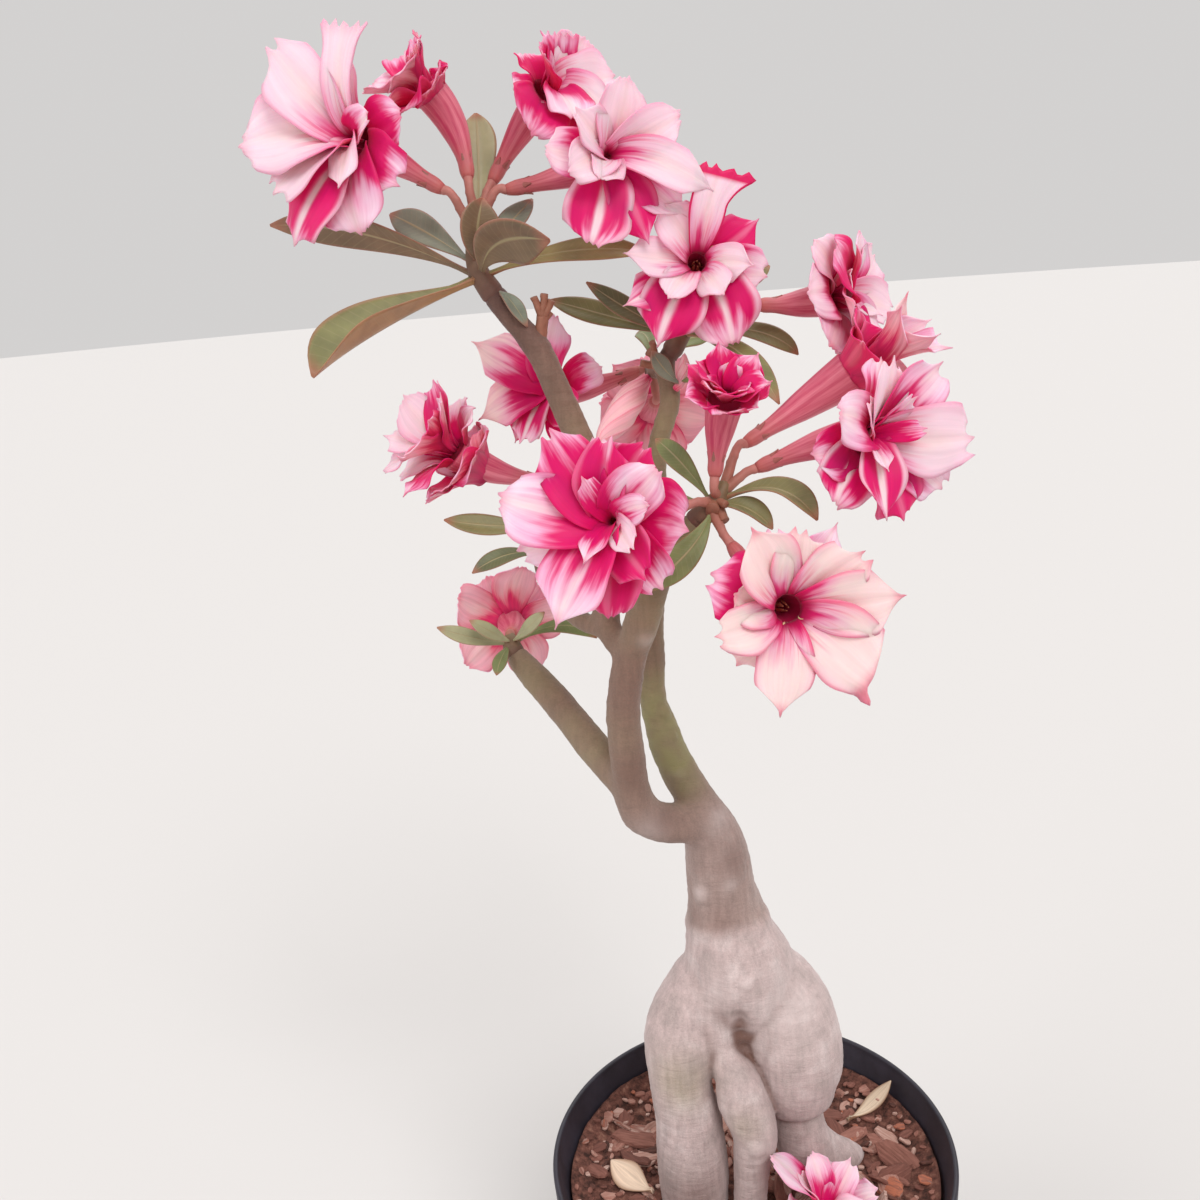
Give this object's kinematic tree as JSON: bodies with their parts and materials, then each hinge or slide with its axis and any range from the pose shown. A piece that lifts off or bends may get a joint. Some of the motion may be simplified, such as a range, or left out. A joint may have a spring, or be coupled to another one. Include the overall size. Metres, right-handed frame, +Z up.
{
  "type": "potted desert rose",
  "caption": "Desert rose with a swollen forked caudex, bare curved branches, leafy tips and ruffled double pink blooms, standing in a round nursery pot.",
  "frame": {"origin": "centre of the pot's underside, on the surface that the pot stands on", "axes": "+Z up along the pot's axis; the plant's best side faces -Y; +X is to the right when it is seen from -Y"},
  "size_m": [0.2931, 0.2123, 0.6985],
  "materials": {
    "pot_plastic": "black injection-moulded plastic, dull sheen",
    "potting_mix": "loose husk and bark chips, dry and matt",
    "bark": "smooth pale grey-brown bark",
    "foliage": "leathery olive-green leaves with a waxy sheen",
    "petals": "soft satin petals, pale pink to crimson",
    "dried_leaf": "dry papery leaf"
  },
  "bodies": {
    "root": {"pot": "pot_plastic", "soil": "potting_mix", "caudex_and_branches": "bark", "leafy_tip_top_left": "foliage", "leafy_tip_top_middle": "foliage", "leafy_tip_right": "foliage", "leafy_tip_left": "foliage", "leafy_tip_back": "foliage", "leafy_tip_low_left": "foliage", "bloom_top_left": "petals", "bloom_top_left_side": "petals", "bloom_top_middle": "petals", "bloom_top_middle_side": "petals", "bloom_centre": "petals", "bloom_right_upper": "petals", "bloom_right_tulip": "petals", "bloom_right_lower": "petals", "bloom_half_open": "petals", "bloom_front": "petals", "bloom_low_right": "petals", "bloom_left": "petals", "bloom_back_left": "petals", "bloom_low_left": "petals", "bloom_back": "petals", "bud_large": "petals", "shoot_with_bud": "foliage", "fallen_bloom": "petals", "dry_leaf": "dried_leaf", "fallen_petal": "dried_leaf"}
  },
  "joints": []
}
